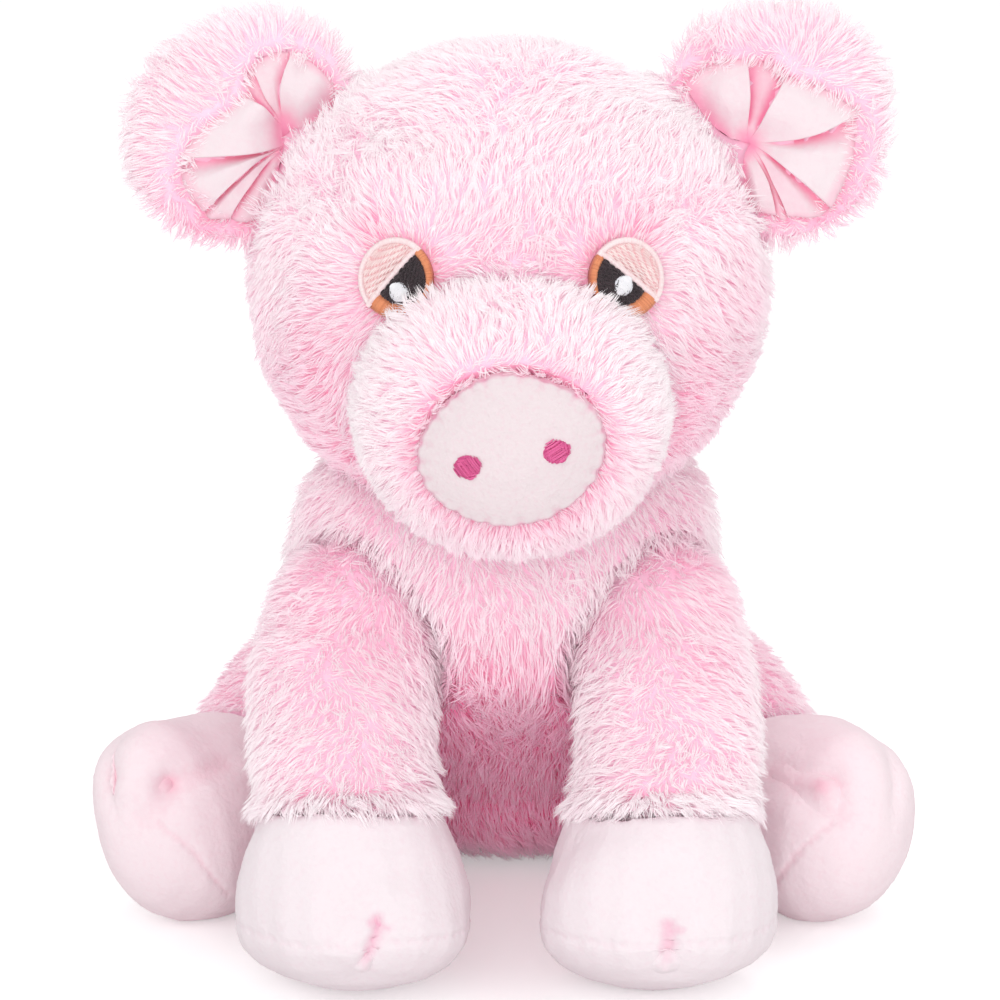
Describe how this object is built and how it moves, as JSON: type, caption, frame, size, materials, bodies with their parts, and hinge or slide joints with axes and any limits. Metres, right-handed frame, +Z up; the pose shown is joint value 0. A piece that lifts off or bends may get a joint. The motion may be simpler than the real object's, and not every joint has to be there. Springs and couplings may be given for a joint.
{
  "type": "plush pig",
  "caption": "Sitting stuffed pig of long pink plush with a cushion muzzle, velboa snout and paws, pleated ears, sleepy embroidered eyes and soft limbs that spring back.",
  "frame": {"origin": "middle of the flat seat under the rump, on the surface that the toy sits on", "axes": "+Z up, -Y the way the toy faces, +X towards the toy's own left side"},
  "size_m": [0.2214, 0.2219, 0.2457],
  "materials": {
    "fur": "long soft pile",
    "muzzle_fur": "short soft pile",
    "velboa": "short smooth nap",
    "foot_velboa": "short smooth nap",
    "ear_lining": "short smooth nap, pleated",
    "stuffing": "loose fibre",
    "eyelid_thread": "embroidered",
    "border_thread": "satin stitch",
    "iris_thread": "satin stitch",
    "pupil_thread": "dense stitch",
    "highlight_thread": "satin stitch",
    "nostril_thread": "satin stitch"
  },
  "bodies": {
    "body": {"body_skin": "fur", "body_stuffing": "stuffing"},
    "head": {"head_skin": "fur", "head_stuffing": "stuffing", "muzzle_skin": "muzzle_fur", "snout_pad": "velboa", "nostril_left": "nostril_thread", "lid_border_left": "border_thread", "eyelid_left": "eyelid_thread", "iris_left": "iris_thread", "pupil_left": "pupil_thread", "highlight_left": "highlight_thread", "nostril_right": "nostril_thread", "lid_border_right": "border_thread", "eyelid_right": "eyelid_thread", "iris_right": "iris_thread", "pupil_right": "pupil_thread", "highlight_right": "highlight_thread"},
    "ear_left": {"ear_left": "fur", "ear_lining_left": "ear_lining"},
    "foreleg_left": {"foreleg_left": "fur", "foreleg_stuffing_left": "stuffing", "forepaw_left": "velboa"},
    "hindleg_left": {"hindleg_left": "fur", "hindleg_stuffing_left": "stuffing", "hindfoot_left": "foot_velboa"},
    "ear_right": {"ear_right": "fur", "ear_lining_right": "ear_lining"},
    "foreleg_right": {"foreleg_right": "fur", "foreleg_stuffing_right": "stuffing", "forepaw_right": "velboa"},
    "hindleg_right": {"hindleg_right": "fur", "hindleg_stuffing_right": "stuffing", "hindfoot_right": "foot_velboa"},
    "tail": {"tail": "fur"}
  },
  "joints": [
    {"name": "head_nod", "type": "hinge", "parent": "body", "child": "head", "pos_m": [0, -0.047, 0.098], "axis": [1, 0, 0], "range_deg": [-10, 8], "stiffness_Nm_per_rad": 4},
    {"name": "ear_left_flop", "type": "hinge", "parent": "head", "child": "ear_left", "pos_m": [0.05314, -0.04974, 0.20534], "axis": [0.515, -0.2218, -0.828], "range_deg": [-12, 20], "stiffness_Nm_per_rad": 0.25},
    {"name": "foreleg_left_swing", "type": "hinge", "parent": "body", "child": "foreleg_left", "pos_m": [0.039, -0.075, 0.086], "axis": [-1, 0, 0], "range_deg": [0, 25], "stiffness_Nm_per_rad": 0.5},
    {"name": "hindleg_left_lift", "type": "hinge", "parent": "body", "child": "hindleg_left", "pos_m": [0.048, -0.013, 0.035], "axis": [-1, 0, 0], "range_deg": [0, 25], "stiffness_Nm_per_rad": 0.5},
    {"name": "ear_right_flop", "type": "hinge", "parent": "head", "child": "ear_right", "pos_m": [-0.05314, -0.04974, 0.20534], "axis": [0.515, 0.2218, 0.828], "range_deg": [-12, 20], "stiffness_Nm_per_rad": 0.25},
    {"name": "foreleg_right_swing", "type": "hinge", "parent": "body", "child": "foreleg_right", "pos_m": [-0.039, -0.075, 0.086], "axis": [-1, 0, 0], "range_deg": [0, 25], "stiffness_Nm_per_rad": 0.5},
    {"name": "hindleg_right_lift", "type": "hinge", "parent": "body", "child": "hindleg_right", "pos_m": [-0.048, -0.013, 0.035], "axis": [-1, 0, 0], "range_deg": [0, 25], "stiffness_Nm_per_rad": 0.5},
    {"name": "tail_flex", "type": "hinge", "parent": "body", "child": "tail", "pos_m": [0, 0.0395, 0.048], "axis": [1, 0, 0], "range_deg": [-20, 20], "stiffness_Nm_per_rad": 0.05}
  ]
}
